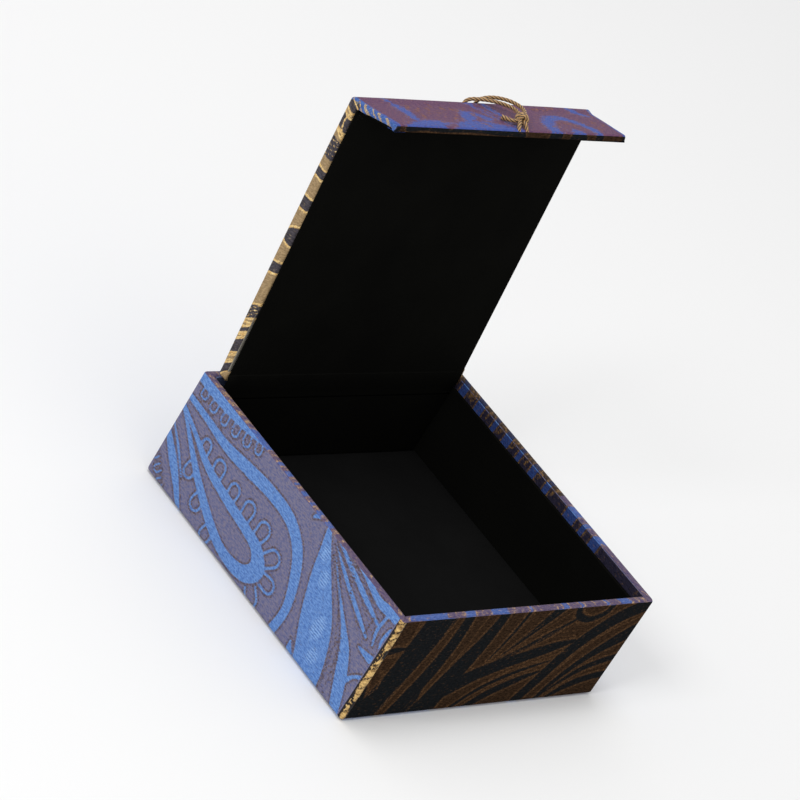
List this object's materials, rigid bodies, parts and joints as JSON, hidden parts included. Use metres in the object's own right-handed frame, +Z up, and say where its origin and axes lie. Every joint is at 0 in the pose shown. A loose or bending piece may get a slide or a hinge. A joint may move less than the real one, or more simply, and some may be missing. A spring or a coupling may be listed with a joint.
{
  "type": "brocade box",
  "caption": "Square keepsake box covered in blue and gold paisley brocade, with a recessed padded lid, a tuck-in front flap, a black lining and a gold pull loop.",
  "frame": {"origin": "middle of the tray's underside, the plane that the box stands on", "axes": "+X to the right along the front edge, +Y from the front wall to the hinge at the back, +Z up; the lid stands open"},
  "size_m": [0.1, 0.1069, 0.1317],
  "materials": {
    "greyboard": "grey chipboard, matt, hidden under cloth",
    "brocade": "woven silk-like brocade, slate violet ground with blue paisleys and bronze and gold threads, soft sheen",
    "lining_cloth": "black pile lining cloth, matt",
    "velvet": "black velvet, very matt with a faint nap",
    "foam": "soft foam, hidden",
    "wadding": "white wadding, hidden",
    "bottom_paper": "dark navy embossed paper, matt",
    "gold_cord": "twisted rayon cord, old gold, satin"
  },
  "bodies": {
    "tray": {"base_board": "greyboard", "front_board": "greyboard", "back_board": "greyboard", "left_board": "greyboard", "right_board": "greyboard", "wall_brocade": "brocade", "base_sheet": "bottom_paper", "front_lining": "lining_cloth", "left_lining_card": "greyboard", "left_lining_cloth": "lining_cloth", "right_lining_card": "greyboard", "right_lining_cloth": "lining_cloth", "pad_card": "greyboard", "pad_foam": "foam", "pad_velvet": "velvet", "back_leaf_board": "greyboard", "back_leaf_brocade": "brocade", "back_leaf_lining": "lining_cloth"},
    "lid": {"lid_board": "greyboard", "lid_wadding": "wadding", "lid_brocade": "brocade", "lid_lining": "lining_cloth"},
    "flap": {"flap_board": "greyboard", "flap_brocade": "brocade", "flap_lining": "lining_cloth", "pull_loop": "gold_cord", "loop_knot": "gold_cord"}
  },
  "joints": [
    {"name": "lid_hinge", "type": "hinge", "parent": "tray", "child": "lid", "pos_m": [0, 0.0466, 0.036], "axis": [1, 0, 0], "range_deg": [0, 96], "deforming": ["pull_loop", "loop_knot"]},
    {"name": "flap_fold", "type": "hinge", "parent": "lid", "child": "flap", "pos_m": [0, 0.05231, 0.12284], "axis": [1, 0, 0], "range_deg": [0, 45]}
  ]
}
